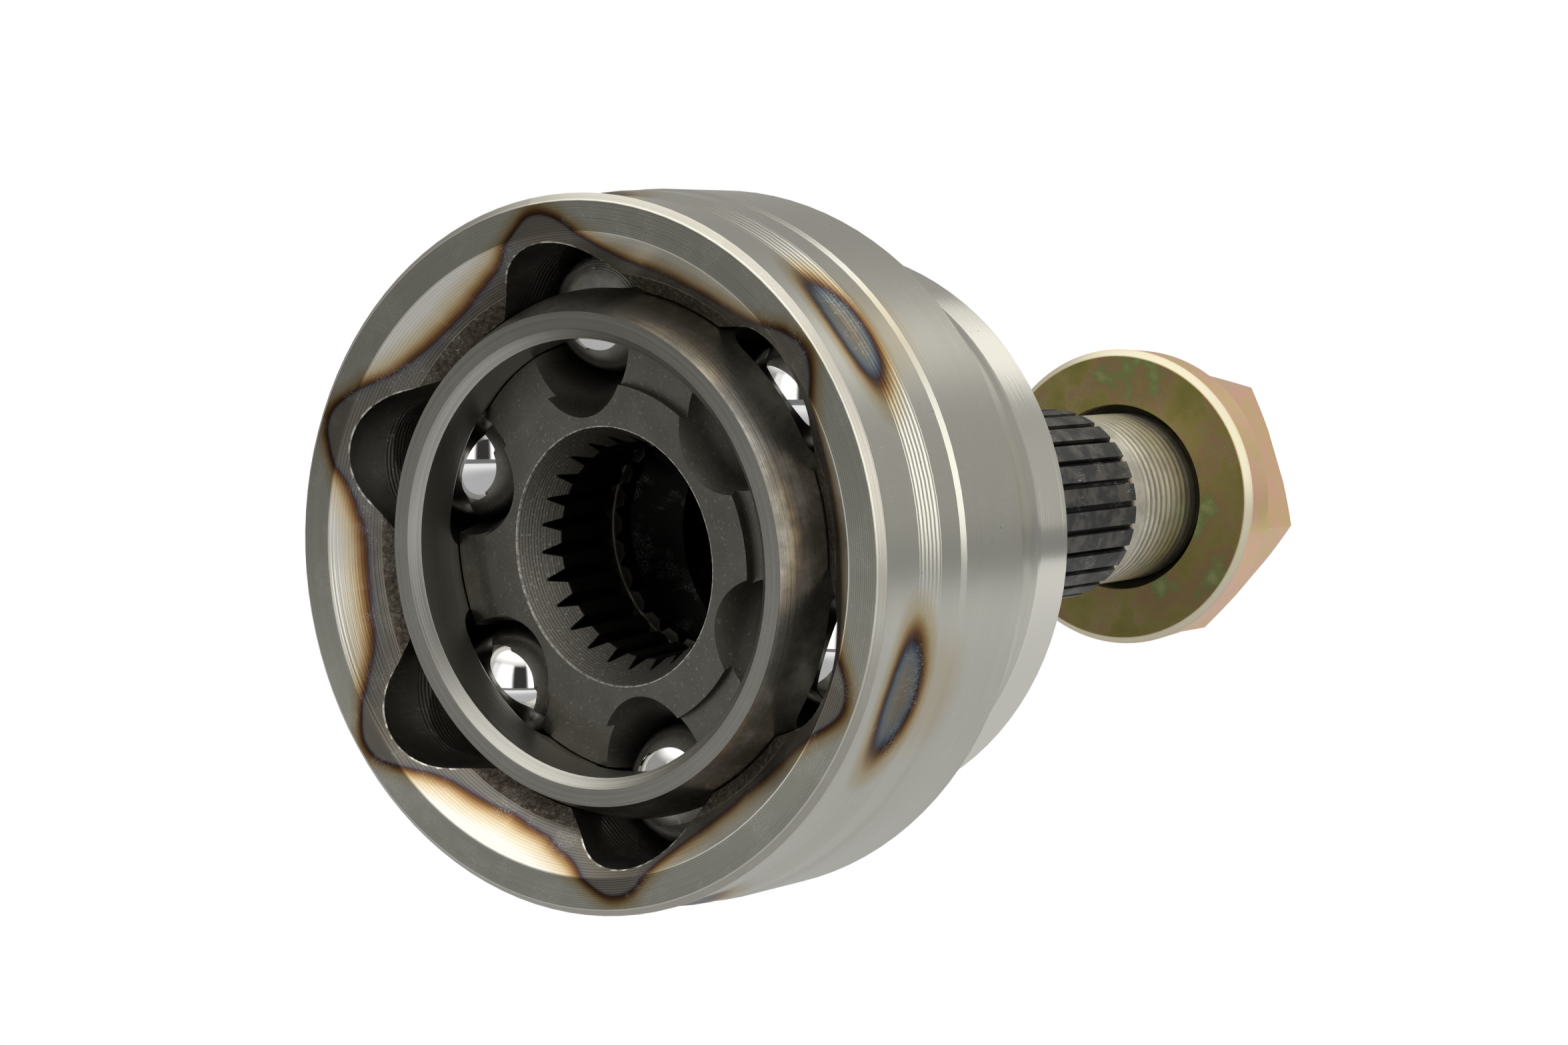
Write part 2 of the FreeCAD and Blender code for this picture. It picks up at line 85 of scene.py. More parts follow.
class Graph:
    """Short calls for building one node tree."""

    def __init__(self, tree):
        self.tree = tree
        self.nodes = tree.nodes
        self.links = tree.links

    def feed(self, socket, value):
        if isinstance(value, bpy.types.NodeSocket):
            self.links.new(value, socket)
        elif value is not None:
            socket.default_value = value

    def add(self, kind, inputs=None, **settings):
        node = self.nodes.new(kind)
        for name, value in settings.items():
            setattr(node, name, value)
        for name, value in (inputs or {}).items():
            self.feed(node.inputs[name], value)
        return node

    def calc(self, operation, a, b=None, c=None, clamp=False):
        node = self.add("ShaderNodeMath", operation=operation, use_clamp=clamp)
        for i, value in enumerate((a, b, c)):
            if value is not None:
                self.feed(node.inputs[i], value)
        return node.outputs[0]

    def plus(self, a, b):
        return self.calc("ADD", a, b)

    def minus(self, a, b):
        return self.calc("SUBTRACT", a, b)

    def times(self, a, b):
        return self.calc("MULTIPLY", a, b)

    def over(self, a, b):
        return self.calc("DIVIDE", a, b)

    def size_of(self, value):
        return self.calc("ABSOLUTE", value)

    def length(self, a, b):
        return self.calc("SQRT", self.plus(self.times(a, a), self.times(b, b)))

    def wave(self, value, pitch):
        """0 to 1 and back once in every pitch."""
        turns = self.times(value, 2 * math.pi / pitch)
        return self.calc("MULTIPLY_ADD", self.calc("SINE", turns), 0.5, 0.5)

    def dot(self, a, b):
        node = self.add("ShaderNodeVectorMath", operation="DOT_PRODUCT")
        self.feed(node.inputs[0], a)
        self.feed(node.inputs[1], b)
        return node.outputs["Value"]

    def vector(self, x, y, z):
        return self.add("ShaderNodeCombineXYZ", {"X": x, "Y": y, "Z": z}).outputs[0]

    def step(self, value, start, end, low=0.0, high=1.0):
        """Smooth change from low to high while value goes from start to end."""
        node = self.add("ShaderNodeMapRange", interpolation_type="SMOOTHSTEP")
        for i, v in enumerate((value, start, end, low, high)):
            self.feed(node.inputs[i], v)
        return node.outputs[0]

    def above(self, value, limit, soft):
        return self.step(value, limit, limit + soft)

    def below(self, value, limit, soft):
        return self.step(value, limit, limit + soft, 1.0, 0.0)

    def band(self, value, start, end, soft):
        """1 between start and end, with soft sides."""
        rise = self.step(value, start - soft, start + soft)
        fall = self.step(value, end - soft, end + soft, 1.0, 0.0)
        return self.times(rise, fall)

    def noise(self, vector, scale, detail=3.0, roughness=0.55):
        node = self.add("ShaderNodeTexNoise", {
            "Vector": vector, "Scale": scale, "Detail": detail, "Roughness": roughness})
        return node.outputs["Fac"]

    def mix(self, factor, a, b, mode="MIX"):
        """Blend of two colours."""
        node = self.add("ShaderNodeMix", data_type="RGBA", blend_type=mode)
        self.feed(node.inputs["Factor"], factor)
        self.feed(node.inputs[6], a)
        self.feed(node.inputs[7], b)
        return node.outputs[2]

    def blend(self, factor, a, b):
        """Blend of two numbers."""
        node = self.add("ShaderNodeMix", data_type="FLOAT")
        self.feed(node.inputs["Factor"], factor)
        self.feed(node.inputs[2], a)
        self.feed(node.inputs[3], b)
        return node.outputs[0]

    def ramp(self, factor, stops):
        node = self.add("ShaderNodeValToRGB", {"Fac": factor})
        ramp = node.color_ramp
        while len(ramp.elements) < len(stops):
            ramp.elements.new(0.5)
        for element, (position, colour) in zip(ramp.elements, stops):
            element.position = position
            element.color = colour
        return node.outputs["Color"]

    def bump(self, height, strength, distance, normal=None):
        node = self.add("ShaderNodeBump", {
            "Height": height, "Strength": strength, "Distance": distance})
        self.feed(node.inputs["Normal"], normal)
        return node.outputs[0]


def new_group(name, inputs, outputs):
    tree = bpy.data.node_groups.new(name, "ShaderNodeTree")
    for label, kind, default in inputs:
        socket = tree.interface.new_socket(label, in_out="INPUT", socket_type=kind)
        if default is not None:
            socket.default_value = default
    for label, kind in outputs:
        tree.interface.new_socket(label, in_out="OUTPUT", socket_type=kind)
    graph = Graph(tree)
    source = graph.add("NodeGroupInput")
    sink = graph.add("NodeGroupOutput")
    return graph, source.outputs, sink.inputs


VALUE, POINT, COLOUR = "NodeSocketFloat", "NodeSocketVector", "NodeSocketColor"


def axis_place_group():
    """Place of a surface point about a part's own axis, in millimetres and radians."""
    graph, given, out = new_group(
        "axis_place",
        [("Axis", POINT, (1, 0, 0)), ("Up", POINT, (0, 1, 0)), ("Side", POINT, (0, 0, 1))],
        [("Along", VALUE), ("Radius", VALUE), ("Angle", VALUE), ("Track angle", VALUE),
         ("Point", POINT)])
    place = graph.add("ShaderNodeTexCoord").outputs["Object"]
    scaled = graph.add("ShaderNodeVectorMath", operation="SCALE")
    graph.feed(scaled.inputs[0], place)
    scaled.inputs["Scale"].default_value = 1 / MM
    point = scaled.outputs[0]
    up = graph.dot(point, given["Up"])
    side = graph.dot(point, given["Side"])
    angle = graph.calc("ARCTAN2", side, up)
    # Angle from the middle of the nearest of the six tracks.
    sixth = math.pi / 3
    track = graph.minus(graph.calc(
        "FLOORED_MODULO", graph.plus(angle, sixth / 2), sixth), sixth / 2)
    for name, value in (("Along", graph.dot(point, given["Axis"])),
                        ("Radius", graph.length(up, side)), ("Angle", angle),
                        ("Track angle", track), ("Point", point)):
        graph.feed(out[name], value)
    return graph.tree


def lathe_marks_group():
    """Fine rings left by turning: 0-1, the same all the way round but for slow drifts."""
    graph, given, out = new_group(
        "lathe_marks",
        [("Along", VALUE, 0.0), ("Radius", VALUE, 0.0), ("Angle", VALUE, 0.0),
         ("Pitch", VALUE, 0.2)],
        [("Rings", VALUE), ("Drift", VALUE)])
    wobble, drift_scale, drift_turn = 0.7, 0.08, 3.0
    across = graph.over(given["Along"], given["Pitch"])
    out_from = graph.over(given["Radius"], given["Pitch"])
    turn_x = graph.times(graph.calc("COSINE", given["Angle"]), wobble)
    turn_y = graph.times(graph.calc("SINE", given["Angle"]), wobble)
    graph.feed(out["Rings"], graph.noise(graph.vector(
        graph.plus(across, turn_x), graph.plus(out_from, turn_y), turn_y), 1.0, 2.0, 0.6))
    graph.feed(out["Drift"], graph.noise(graph.vector(
        graph.times(across, drift_scale), graph.times(out_from, drift_scale),
        graph.times(turn_x, drift_turn)), 1.0, 2.0, 0.5))
    return graph.tree


def scuffs_group():
    """Handling marks: thin scratches in two directions, and small nicks."""
    graph, given, out = new_group(
        "handling_scuffs",
        [("Point", POINT, None), ("Density", VALUE, 0.5)],
        [("Scratches", VALUE), ("Nicks", VALUE)])
    lines = []
    for turn, seed in ((0.6, 3.0), (-0.9, 11.0)):
        mapping = graph.add("ShaderNodeMapping", {"Vector": given["Point"]})
        mapping.inputs["Location"].default_value = (seed, seed * 2, seed * 3)
        mapping.inputs["Rotation"].default_value = (turn, turn * 1.7, turn * 0.8)
        mapping.inputs["Scale"].default_value = (0.25, 3.2, 3.2)
        fine = graph.noise(mapping.outputs[0], 1.3, 1.0, 0.5)
        lines.append(graph.band(fine, 0.497, 0.503, 0.004))
    patches = graph.step(graph.noise(given["Point"], 0.22, 2.0), 0.5, 0.62)
    scratches = graph.times(graph.calc("MAXIMUM", lines[0], lines[1]), patches)
    cells = graph.add("ShaderNodeTexVoronoi", {"Vector": given["Point"], "Scale": 0.5})
    nicks = graph.times(graph.below(cells.outputs["Distance"], 0.03, 0.04), patches)
    graph.feed(out["Scratches"], graph.times(scratches, given["Density"]))
    graph.feed(out["Nicks"], graph.times(nicks, given["Density"]))
    return graph.tree


def temper_group():
    """Oxide colours of heated steel by distance from the edge of the hot zone, in mm.

    Outside it is positive: straw, then brown, purple and blue, and grey inside.
    """
    graph, given, out = new_group(
        "temper_colours", [("Distance", VALUE, 0.0)], [("Tint", COLOUR), ("Hot", VALUE)])
    reach = 3.0
    place = graph.calc("DIVIDE", graph.plus(given["Distance"], reach), 2 * reach, clamp=True)
    graph.feed(out["Tint"], graph.ramp(place, [
        (0.0, (0.34, 0.30, 0.26, 1)), (0.20, (0.33, 0.32, 0.31, 1)),
        (0.33, (0.23, 0.28, 0.34, 1)), (0.41, (0.10, 0.12, 0.20, 1)),
        (0.46, (0.08, 0.045, 0.05, 1)), (0.52, (0.22, 0.11, 0.045, 1)),
        (0.59, (0.52, 0.34, 0.17, 1)), (0.68, (0.82, 0.70, 0.50, 1)),
        (0.90, (1.0, 1.0, 1.0, 1))]))
    graph.feed(out["Hot"], graph.below(given["Distance"], -0.75, 0.60))
    return graph.tree


AXIS_PLACE = axis_place_group()
LATHE_MARKS = lathe_marks_group()
SCUFFS = scuffs_group()
TEMPER = temper_group()


def group(graph, tree, **inputs):
    node = graph.add("ShaderNodeGroup", node_tree=tree)
    for name, value in inputs.items():
        graph.feed(node.inputs[name], value)
    return node.outputs


def part_frame(bend):
    """Axis, up and side directions of a part bent back by an angle."""
    turn = Matrix.Rotation(-bend, 3, BEND_AXIS)
    up = Vector((0, math.cos(BALL_PHASE), math.sin(BALL_PHASE)))
    side = Vector((0, -math.sin(BALL_PHASE), math.cos(BALL_PHASE)))
    return {"Axis": tuple(turn @ Vector((1, 0, 0))), "Up": tuple(turn @ up),
            "Side": tuple(turn @ side)}


class Finish:
    """Metal material of one part, with the place of a point on it and its common marks."""

    def __init__(self, name, bend=0.0, ring_pitch=None, scuff_density=None):
        self.material = bpy.data.materials.new(name)
        self.material.use_nodes = True
        self.graph = Graph(self.material.node_tree)
        self.shader = self.graph.nodes["Principled BSDF"]
        self.shader.inputs["Metallic"].default_value = 1.0
        at = group(self.graph, AXIS_PLACE, **part_frame(bend))
        self.along, self.radius, self.angle = at["Along"], at["Radius"], at["Angle"]
        self.track, self.point = at["Track angle"], at["Point"]
        if ring_pitch:
            marks = group(self.graph, LATHE_MARKS, Along=self.along, Radius=self.radius,
                          Angle=self.angle, Pitch=ring_pitch)
            self.rings, self.drift = marks["Rings"], marks["Drift"]
        if scuff_density:
            scuffs = group(self.graph, SCUFFS, Point=self.point, Density=scuff_density)
            self.scratches, self.nicks = scuffs["Scratches"], scuffs["Nicks"]

    def noise(self, scale, detail=3.0, roughness=0.55):
        return self.graph.noise(self.point, scale, detail, roughness)

    def turned_way(self, amount):
        """Stretch the shine across the turning rings, which run round the axis."""
        tangent = self.graph.add("ShaderNodeTangent", direction_type="RADIAL", axis="X")
        self.graph.feed(self.shader.inputs["Tangent"], tangent.outputs[0])
        self.shader.inputs["Anisotropic"].default_value = amount

    def finish(self, colour, roughness, normal=None):
        self.graph.feed(self.shader.inputs["Base Color"], colour)
        self.graph.feed(self.shader.inputs["Roughness"], roughness)
        self.graph.feed(self.shader.inputs["Normal"], normal)
        return self.material


def bell_zones(bell):
    """Masks of the mouth face, its cone, the narrow land and the inside of the cavity."""
    graph, along, radius = bell.graph, bell.along, bell.radius
    cone_off = graph.size_of(graph.minus(graph.plus(radius, along), CONE_SUM))
    cone = graph.times(graph.below(cone_off, 0.10, 0.10),
                       graph.below(along, CONE_END_X - 0.05, 0.10))
    face = graph.times(graph.below(along, RIM_X + 0.04, 0.04),
                       graph.above(radius, FACE_INNER_R, 0.1))
    land_off = graph.size_of(graph.plus(
        graph.minus(radius, LAND_R),
        graph.times(graph.minus(along, CONE_END_X), LAND_SLOPE)))
    land = graph.times(graph.below(land_off, 0.10, 0.10),
                       graph.band(along, CONE_END_X, LAND_END_X, 0.02))
    at_mouth = graph.calc("MAXIMUM", face, cone)

    narrowing = graph.times(graph.minus(along, CAVITY_NARROWS_X), CAVITY_NARROWING)
    limit = graph.minus(CAVITY_LIMIT_R, graph.calc("MAXIMUM", 0.0, narrowing))
    inside = graph.times(graph.below(graph.minus(radius, limit), -0.1, 0.2),
                         graph.below(along, CAVITY_FLOOR_X, 0.1))
    inside = graph.times(inside, graph.minus(1.0, graph.calc("MAXIMUM", at_mouth, land)))
    return face, cone, at_mouth, land, inside


def entry_distance(bell):
    """Distance of a point outside the widened entry of its ball track."""
    graph = bell.graph
    sideways = graph.times(bell.radius, graph.calc("SINE", bell.track))
    outward = graph.times(bell.radius, graph.calc("COSINE", bell.track))
    from_arc = graph.minus(
        graph.length(graph.plus(bell.along, ENTRY_OFFSET), outward), ENTRY_PATH)
    return graph.minus(graph.length(sideways, from_arc), ENTRY_R)


def bell_heat(bell, at_mouth):
    """Distance from the hot zone's edge, and the slow wander of that edge."""
    graph = bell.graph
    wander = graph.times(graph.minus(bell.noise(0.09, 2.0), 0.5), EDGE_WANDER)
    off_lobe = graph.size_of(graph.minus(bell.track, LOBE_AT))
    lobe = graph.over(1.0, graph.plus(1.0, graph.calc(
        "POWER", graph.over(off_lobe, LOBE_WIDTH), LOBE_POWER)))
    edge_r = graph.plus(SCALLOP_R, graph.times(lobe, LOBE_HEIGHT))
    mouth_heat = graph.plus(graph.minus(bell.radius, edge_r), wander)
    spot = graph.length(
        graph.over(graph.minus(bell.along, SPOT_X), SPOT_HALF_LENGTH),
        graph.over(graph.times(bell.track, SPOT_R), SPOT_HALF_WIDTH))
    spot_heat = graph.plus(graph.times(graph.minus(spot, 1.0), SPOT_FALL),
                           graph.times(wander, SPOT_WANDER))
    return graph.blend(at_mouth, spot_heat, mouth_heat), wander


def spot_halo(bell, wander):
    """Faint brown bloom behind each oval spot."""
    graph = bell.graph
    reach = graph.length(
        graph.over(graph.minus(bell.along, HALO_X), HALO_HALF_LENGTH),
        graph.over(graph.times(bell.track, SPOT_R), HALO_HALF_WIDTH))
    reach = graph.calc("MULTIPLY_ADD", wander, 0.15, reach)
    return graph.times(graph.step(reach, 0.4, 1.1, 0.5, 0.0),
                       graph.above(bell.radius, HALO_INNER_R, 0.1))


def bell_finish():
    """Turned steel, hardened and tinted round the tracks, with a dull spline and thread."""
    bell = Finish("bell_steel", ring_pitch=0.22, scuff_density=0.8)
    graph, along, radius = bell.graph, bell.along, bell.radius
    face, cone, at_mouth, land, inside = bell_zones(bell)
    heat, wander = bell_heat(bell, at_mouth)
    temper = group(graph, TEMPER, Distance=heat)

    # turned outside, lip, shoulder and mouth
    steel = graph.mix(graph.times(bell.rings, 0.4),
                      (0.74, 0.73, 0.65, 1), (0.62, 0.61, 0.54, 1))
    steel = graph.mix(graph.step(bell.drift, 0.3, 0.8), steel, (0.69, 0.68, 0.605, 1))
    lines = graph.blend(0.5, graph.wave(radius, LINE_PITCH), bell.rings)
    face_steel = graph.mix(lines, (0.42, 0.415, 0.36, 1), (0.24, 0.235, 0.20, 1))
    cone_steel = graph.mix(lines, (0.93, 0.91, 0.83, 1), (0.66, 0.64, 0.58, 1))
    lip_steel = graph.mix(bell.rings, (0.60, 0.575, 0.51, 1), (0.44, 0.42, 0.37, 1))
    lip = graph.times(graph.below(along, LIP_END_X, 0.05), graph.above(radius, LIP_R, 0.1))
    steel = graph.mix(lip, steel, lip_steel)
    shoulder = graph.band(along, SHOULDER_FROM, SHOULDER_TO, 0.3)
    # The shoulder's near-white colour is a painted highlight.
    steel = graph.mix(shoulder, steel, (0.97, 0.95, 0.86, 1))
    base = graph.mix(face, steel, face_steel)
    base = graph.mix(cone, base, cone_steel)

    # heat tint, its bloom, and burrs along the track entries
    base = graph.mix(1.0, base, temper["Tint"], "MULTIPLY")
    bloom = graph.mix(1.0, base, (0.90, 0.76, 0.56, 1), "MULTIPLY")
    base = graph.mix(spot_halo(bell, wander), base, bloom)
    hot_steel = graph.mix(lines, (0.215, 0.195, 0.165, 1), (0.08, 0.07, 0.06, 1))
    hot_mouth = graph.times(temper["Hot"], at_mouth)
    base = graph.mix(graph.times(hot_mouth, 0.85), base, hot_steel)
    burr = graph.times(graph.below(entry_distance(bell), 0.10, 0.12), at_mouth)
    burr = graph.times(burr, graph.step(bell.noise(0.9, 4.0), 0.42, 0.66))
    base = graph.mix(burr, base, BARE_STEEL)

    # crusted land, and the cavity, painted darker deeper in as painted shade
    crust = bell.noise(1.9, 4.0, 0.7)
    base = graph.mix(land, base, graph.ramp(crust, [
        (0.34, (0.05, 0.042, 0.034, 1)), (0.50, (0.11, 0.092, 0.072, 1)),
        (0.62, (0.17, 0.15, 0.125, 1)), (0.74, (0.50, 0.48, 0.43, 1))]))
    track_steel_and_painted_shade = graph.mix(bell.noise(0.5, 2.0), (0.16, 0.155, 0.14, 1),
                            (0.27, 0.26, 0.235, 1))
    # Deeper in the cavity the steel fades to near black: painted shade.
    track_steel_and_painted_shade = graph.mix(graph.step(along, 6.0, 14.0), track_steel_and_painted_shade,
                            (0.012, 0.012, 0.011, 1))
    base = graph.mix(inside, base, track_steel_and_painted_shade)

    # dull black spline with worn teeth and painted shade in the tooth spaces, a straw ring and
    # the neck
    spline = graph.band(along, SPLINE_X, SPLINE_END, 0.05)
    worn = graph.step(bell.noise(0.35, 4.0, 0.6), 0.42, 0.62)
    spline_steel_and_painted_shade = graph.mix(worn, (0.075, 0.078, 0.078, 1), (0.16, 0.15, 0.135, 1))
    # The tooth spaces are painted near black: painted shade.
    spline_steel_and_painted_shade = graph.mix(graph.below(radius, SPLINE_ROOT_R, 0.3), spline_steel_and_painted_shade,
                             (0.022, 0.022, 0.022, 1))
    base = graph.mix(spline, base, spline_steel_and_painted_shade)
    straw_ring = graph.band(along, SPLINE_END - 0.1, SPLINE_END + 0.8, 0.5)
    base = graph.mix(straw_ring, base, (0.24, 0.155, 0.07, 1))
    neck = graph.above(along, SPLINE_END + 0.4, 1.4)
    neck_steel = graph.mix(graph.step(bell.noise(0.3, 4.0, 0.65), 0.4, 0.65),
                           (0.96, 0.94, 0.86, 1), (0.78, 0.76, 0.68, 1))
    base = graph.mix(neck, base, neck_steel)
    base = graph.mix(bell.scratches, base, (0.95, 0.94, 0.90, 1))
    base = graph.mix(bell.nicks, base, NICK_BROWN)

    rough = graph.blend(bell.drift, 0.25, 0.31)
    for zone, roughness in ((shoulder, 0.14), (inside, 0.38), (land, 0.55), (spline, 0.5),
                            (neck, 0.40)):
        rough = graph.blend(zone, rough, roughness)
    bell.turned_way(0.25)

    # relief: thread, feed rings on the ramp, fall of the shoulder, turning rings, crust
    feed = graph.times(graph.calc("SINE", graph.times(along, 2 * math.pi / FEED_PITCH)),
                       graph.band(along, RAMP_FROM, RAMP_TO, 0.1))
    ridge = graph.calc("PINGPONG", graph.plus(along, graph.times(
        bell.angle, THREAD_PITCH / (2 * math.pi))), THREAD_PITCH / 2)
    ridge = graph.times(ridge, graph.above(along, THREAD_X, THREAD_FADE))
    flare = graph.calc("MAXIMUM", 0.0, graph.minus(along, SHOULDER_X))
    flare = graph.calc("MINIMUM", flare, SHOULDER_LENGTH)
    relief = None
    for height, strength, depth in ((ridge, 0.32, THREAD_DEPTH), (feed, 0.22, FEED_DEPTH),
                                    (flare, 0.17, SHOULDER_FALL),
                                    (bell.rings, 0.35, RING_DEPTH),
                                    (graph.times(crust, land), 0.45, CRUST_DEPTH)):
        relief = graph.bump(height, strength, depth, relief)
    return bell.finish(base, rough, relief)


def cage_finish():
    """Ground, phosphated steel with rubbed edges."""
    cage = Finish("cage_steel", BEND / 2, ring_pitch=0.35, scuff_density=0.8)
    graph, along, radius = cage.graph, cage.along, cage.radius
    front = graph.below(along, CAGE_FACE_X, 0.04)
    bevel = graph.times(graph.band(along, CAGE_FACE_X + 0.02, CAGE_BEVEL_END_X, 0.03),
                        graph.below(radius, CAGE_BEVEL_R, 0.05))
    outer = graph.above(graph.length(along, radius), CAGE_SHELL_R, 0.10)
    rubbed = graph.step(cage.noise(0.16, 5.0, 0.65), 0.38, 0.66)
    shell = graph.mix(rubbed, (0.34, 0.33, 0.30, 1), (0.72, 0.70, 0.65, 1))
    inner = graph.mix(cage.drift, (0.46, 0.45, 0.42, 1), (0.62, 0.61, 0.565, 1))
    ring = graph.mix(cage.rings, (0.34, 0.33, 0.295, 1), (0.19, 0.185, 0.165, 1))
    bright = graph.mix(cage.rings, (0.70, 0.69, 0.64, 1), (0.26, 0.255, 0.235, 1))
    base = graph.mix(outer, inner, shell)
    base = graph.mix(front, base, ring)
    base = graph.mix(bevel, base, bright)
    base = graph.mix(cage.scratches, base, (0.55, 0.54, 0.52, 1))
    cage.turned_way(0.5)
    return cage.finish(base, graph.blend(outer, 0.34, graph.blend(rubbed, 0.42, 0.30)),
                       graph.bump(cage.rings, 0.4, INNER_RING_DEPTH))


def race_finish():
    """Matt heat-treated steel; the bore's chamfer is freshly turned."""
    race = Finish("race_steel", BEND, ring_pitch=0.3, scuff_density=0.35)
    graph, along, radius = race.graph, race.along, race.radius
    dull = graph.mix(race.noise(0.3, 4.0), (0.11, 0.106, 0.092, 1), (0.18, 0.172, 0.15, 1))
    specks = graph.step(race.noise(2.4, 3.0, 0.7), 0.60, 0.70)
    dull = graph.mix(graph.times(specks, 0.35), dull, (0.60, 0.58, 0.52, 1))

    # bore: tooth spaces painted dark as painted shade; tooth ends and groove edge painted
    # bright as painted highlights
    bore = graph.below(radius, BORE_R, 0.1)
    # The tooth spaces are painted darker than the tooth tips: painted shade.
    bore_steel_and_painted_shade = graph.mix(graph.step(radius, TOOTH_TIP_R, TOOTH_ROOT_R),
                           (0.10, 0.095, 0.085, 1), (0.03, 0.03, 0.028, 1))
    base = graph.mix(bore, dull, bore_steel_and_painted_shade)
    # Painted highlight on the far ends of the teeth.
    painted_tooth_end_highlight = graph.times(graph.band(along, TOOTH_END_X, TOOTH_END_TO, 0.04), bore)
    base = graph.mix(painted_tooth_end_highlight, base, (0.42, 0.40, 0.35, 1))
    # Painted highlight along the edge of the snap ring groove.
    painted_groove_edge_highlight = graph.times(graph.band(along, GROOVE_X, GROOVE_END_X, 0.04),
                              graph.below(radius, 13.0, 0.2))
    base = graph.mix(painted_groove_edge_highlight, base, (0.50, 0.48, 0.42, 1))

    # turned chamfer and the thin painted highlight round its mouth
    chamfer_off = graph.size_of(graph.minus(radius, graph.minus(
        CHAMFER_R, graph.times(graph.minus(along, BOSS_X), CHAMFER_SLOPE))))
    chamfer = graph.times(graph.below(chamfer_off, 0.10, 0.08),
                          graph.below(along, CHAMFER_END_X, 0.1))
    turned = graph.mix(
        graph.blend(0.6, race.rings, graph.wave(along, LINE_PITCH * 1.3)),
        (0.42, 0.40, 0.36, 1), (0.13, 0.125, 0.11, 1))
    sparkle = graph.step(race.noise(3.0, 3.0, 0.7), 0.56, 0.68)
    turned = graph.mix(graph.times(sparkle, 0.6), turned, BARE_STEEL)
    base = graph.mix(chamfer, base, turned)
    # The thin broken line round the chamfer's mouth is a painted highlight.
    painted_chamfer_rim_highlight = graph.times(graph.band(radius, CHAMFER_R - 0.08, CHAMFER_R + 0.08, 0.05),
                           graph.below(along, BOSS_X + 0.3, 0.1))
    painted_chamfer_rim_highlight = graph.times(painted_chamfer_rim_highlight, graph.step(race.noise(1.6, 3.0, 0.6), 0.35, 0.6))
    base = graph.mix(painted_chamfer_rim_highlight, base, (0.75, 0.73, 0.68, 1))
    base = graph.mix(race.scratches, base, (0.45, 0.44, 0.41, 1))
    race.turned_way(0.5)
    return race.finish(base, graph.blend(chamfer, 0.48, 0.52),
                       graph.bump(race.rings, 0.35, INNER_RING_DEPTH))


def ball_finish():
    """Polished bearing steel with a faint film."""
    ball = Finish("ball_chrome")
    graph = ball.graph
    film = ball.noise(0.25)
    return ball.finish(graph.mix(film, (0.86, 0.86, 0.85, 1), (0.76, 0.76, 0.76, 1)),
                       graph.blend(graph.step(film, 0.45, 0.65), 0.03, 0.07))


def nut_finish():
    """Yellow passivated zinc: straw, olive and rose patches."""
    nut = Finish("yellow_zinc", ring_pitch=0.3, scuff_density=0.6)
    graph, along, radius = nut.graph, nut.along, nut.radius
    patches = graph.ramp(nut.noise(0.14, 4.0, 0.6), [
        (0.30, (0.72, 0.56, 0.24, 1)), (0.42, (0.76, 0.54, 0.28, 1)),
        (0.50, (0.80, 0.52, 0.33, 1)), (0.57, (0.82, 0.49, 0.36, 1)),
        (0.66, (0.76, 0.58, 0.34, 1)), (0.78, (0.68, 0.62, 0.34, 1))])
    olive = graph.ramp(nut.noise(0.11, 5.0, 0.65), [
        (0.28, (0.17, 0.16, 0.035, 1)), (0.40, (0.22, 0.19, 0.05, 1)),
        (0.48, (0.25, 0.205, 0.07, 1)), (0.54, (0.26, 0.165, 0.08, 1)),
        (0.60, (0.17, 0.215, 0.065, 1)), (0.72, (0.32, 0.31, 0.14, 1))])
    flange_face = graph.below(along, FLANGE_X, 0.18)
    base = graph.mix(flange_face, patches, olive)
    # The cream band round the flange rim is a painted highlight.
    painted_flange_rim_highlight = graph.times(graph.above(radius, FLANGE_RIM_R, 0.3),
                      graph.below(along, FLANGE_RIM_X, 0.7))
    base = graph.mix(painted_flange_rim_highlight, base, (0.74, 0.71, 0.54, 1))
    # The near-black recess round the thread is painted shade.
    painted_recess_shade = graph.times(graph.below(radius, RECESS_R, 0.1), graph.below(along, RECESS_X, 1.0))
    base = graph.mix(painted_recess_shade, base, (0.05, 0.05, 0.03, 1))
    base = graph.mix(nut.nicks, base, (0.20, 0.15, 0.07, 1))
    base = graph.mix(nut.scratches, base, (0.80, 0.74, 0.55, 1))
    nut.shader.inputs["Metallic"].default_value = 0.6
    return nut.finish(base, graph.blend(flange_face, 0.34, 0.44),
                      graph.bump(nut.rings, 0.2, RING_DEPTH))


FINISHES = {"outer_race": bell_finish(), "cage": cage_finish(), "inner_race": race_finish(),
            "axle_nut": nut_finish()}
CHROME = ball_finish()
for node_name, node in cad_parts.items():
    node.material_slots[0].material = FINISHES.get(node_name, CHROME)


def place_camera():
    """Camera at eye height in front of the mouth, off to its right."""
    forward = Vector((0.83000, 0.55330, -0.07045)).normalized()
    right = Vector((0.55468, -0.83207, 0.0)).normalized()
    position = Vector((-353.7, -253.8, 33.7)) * MM
    data = bpy.data.cameras.new("camera")
    data.lens = 84.73
    data.sensor_width = 36
    data.clip_start = 0.01
    data.clip_end = 20
    camera = bpy.data.objects.new("camera", data)
    bpy.context.scene.collection.objects.link(camera)
    turn = Matrix((right, right.cross(forward), -forward)).transposed().to_4x4()
    camera.matrix_world = Matrix.Translation(position) @ turn
    bpy.context.scene.camera = camera


